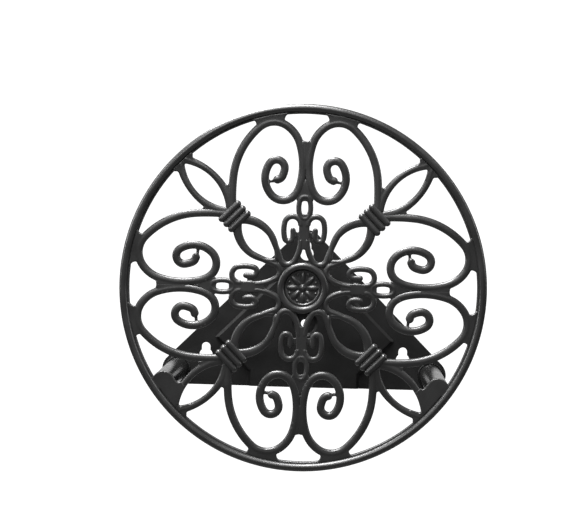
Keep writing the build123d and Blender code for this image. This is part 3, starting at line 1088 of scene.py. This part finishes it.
@dataclass(frozen=True)
class Studio:
    """A pale paper sweep, soft boxes and a long-lens camera square to the face, in metres and degrees."""

    distance: float = 1.8
    frame_width: float = 0.5069662
    sensor_mm: float = 36.0
    camera_right: float = 0.036
    camera_up: float = 0.077
    aim_left: float = 0.0183
    aim_up: float = 0.0257
    roll: float = 1.47
    floor_drop: float = 1.8
    floor_front: float = 4.0
    wall_gap: float = 3.0
    wall_height: float = 5.0
    half_width: float = 5.0
    bend: float = 0.8
    bend_steps: int = 16
    paper_hex: str = "#888888"
    paper_roughness: float = 0.9
    # How bright the surroundings are: seen directly, and as they light the object.
    seen_level: float = 0.95
    room_level: float = 0.05
    patch_level: float = 0.9
    paper_level: float = 0.1
    patch_left: float = 0.1
    patch_radii: Point = (0.4, 1.3)
    lamps: tuple[SoftBox, ...] = (
        SoftBox("overhead_box", (-0.3, -0.1, 1.2), (1.5, 0.5), 135),
        SoftBox("front_box", (-0.4, -1.5, 1.0), (1.2, 0.7), 22),
        SoftBox("left_strip", (-1.3, -0.25, 0.55), (0.3, 1.0), 14),
        SoftBox("right_strip", (1.3, -0.25, 0.55), (0.3, 1.0), 7))

    def camera(self, face: Vector) -> None:
        """Place the camera.

        Args:
            face: Centre of the face's front, near the middle of the view.
        """
        data = bpy.data.cameras.new("studio_camera")
        data.sensor_width = self.sensor_mm
        data.lens = self.distance / self.frame_width * self.sensor_mm
        camera = bpy.data.objects.new("studio_camera", data)
        camera.location = face + Vector((self.camera_right, -self.distance, self.camera_up))
        aim = face + Vector((-self.aim_left, 0.0, self.aim_up))
        camera.rotation_mode = "QUATERNION"
        look = (aim - camera.location).to_track_quat("-Z", "Y")
        camera.rotation_quaternion = look @ Matrix.Rotation(math.radians(self.roll), 4, "Z").to_quaternion()
        bpy.context.scene.collection.objects.link(camera)
        bpy.context.scene.camera = camera

    def paper(self, patch: Vector) -> bpy.types.Material:
        """Make the sweep's material.

        Args:
            patch: Middle of the lit patch on the backdrop.

        Returns:
            Matt white paper that glows evenly to the eye.
        """
        paper = bpy.data.materials.new("white_background_paper")
        paper.use_nodes = True
        tree = paper.node_tree
        shader = tree.nodes["Principled BSDF"]
        shader.inputs["Base Color"].default_value = linear(self.paper_hex)
        shader.inputs["Roughness"].default_value = self.paper_roughness
        shader.inputs["Emission Color"].default_value = linear("#ffffff")
        # The paper lights the object only from a patch behind it, as a lit backdrop between flags does.
        place = add_node(tree, "ShaderNodeTexCoord").outputs["Object"]
        reach = add_node(tree, "ShaderNodeVectorMath", {0: place, 1: patch}, operation="DISTANCE")
        lit = add_node(tree, "ShaderNodeMapRange", {
            "Value": reach.outputs["Value"], "From Min": self.patch_radii[0], "From Max": self.patch_radii[1],
            "To Min": self.patch_level, "To Max": self.paper_level})
        # Seen directly, the whole sweep is evenly pale.
        glow = add_node(tree, "ShaderNodeMapRange", {
            "Value": add_node(tree, "ShaderNodeLightPath").outputs["Is Camera Ray"],
            "To Min": lit.outputs["Result"], "To Max": self.seen_level})
        tree.links.new(glow.outputs["Result"], shader.inputs["Emission Strength"])
        return paper

    def sweep(self, face: Vector) -> None:
        """Lay the pale floor that curves up into a backdrop."""
        floor, wall = face.z - self.floor_drop, face.y + self.wall_gap
        profile = [(face.y - self.floor_front, floor)]
        profile += [(wall - self.bend + self.bend * math.sin(a), floor + self.bend - self.bend * math.cos(a))
                    for a in (math.radians(90 * i / self.bend_steps) for i in range(self.bend_steps + 1))]
        profile.append((wall, floor + self.wall_height))
        mesh = bpy.data.meshes.new("sweep")
        verts = [(x, y, z) for x in (-self.half_width, self.half_width) for y, z in profile]
        count = len(profile)
        mesh.from_pydata(verts, [], [(i, i + 1, i + 1 + count, i + count) for i in range(count - 1)])
        mesh.shade_smooth()
        mesh.materials.append(self.paper(Vector((face.x - self.patch_left, wall, face.z))))
        piece = bpy.data.objects.new("paper_sweep", mesh)
        bpy.context.scene.collection.objects.link(piece)

    def room(self) -> None:
        """Surround it all with a room that looks pale and gives little light."""
        world = bpy.data.worlds.new("white_room")
        world.use_nodes = True
        tree = world.node_tree
        level = add_node(tree, "ShaderNodeMapRange", {
            "Value": add_node(tree, "ShaderNodeLightPath").outputs["Is Camera Ray"],
            "To Min": self.room_level, "To Max": self.seen_level})
        background = tree.nodes["Background"]
        background.inputs["Color"].default_value = linear("#ffffff")
        tree.links.new(level.outputs["Result"], background.inputs["Strength"])
        bpy.context.scene.world = world
        bpy.context.scene.view_settings.view_transform = "Standard"

    def build(self, face: Vector) -> None:
        """Set up camera, sweep, room and lamps."""
        self.camera(face)
        self.sweep(face)
        self.room()
        for lamp in self.lamps:
            lamp.build(face)


def main() -> None:
    """Build every piece and the studio."""
    logging.basicConfig(level=logging.INFO, format="%(message)s")
    face_coat = PowderCoat(
        "satin_powder_coat_on_cast_iron", "#1c1c1c", "#4c4c4c", Process.SAND_CAST, 0.32).build()
    plate_coat = PowderCoat(
        "satin_powder_coat_on_sheet_steel", "#090909", "#1a1a1a", Process.PRESSED, 0.36, 1.38).build()
    tube_coat = PowderCoat(
        "satin_powder_coat_on_steel_tube", "#0b0b0b", "#202020", Process.DRAWN, 0.24, 1.32,
        peel_depth_mm=0.02).build()

    arms = [Arm("left", tube_coat), Arm("right", tube_coat)]
    face = ScrollFace(face_coat)
    face.build(arms[1].axis)
    for arm in arms:
        arm.build()
    WallPlate(plate_coat).build()
    ArmScrews(BlackOxide().build()).build()

    front = Vector((face.center.x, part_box("scroll_top_right_hand")[0][1], face.center.z))
    Studio().build(front)


if __name__ == "__main__":
    main()
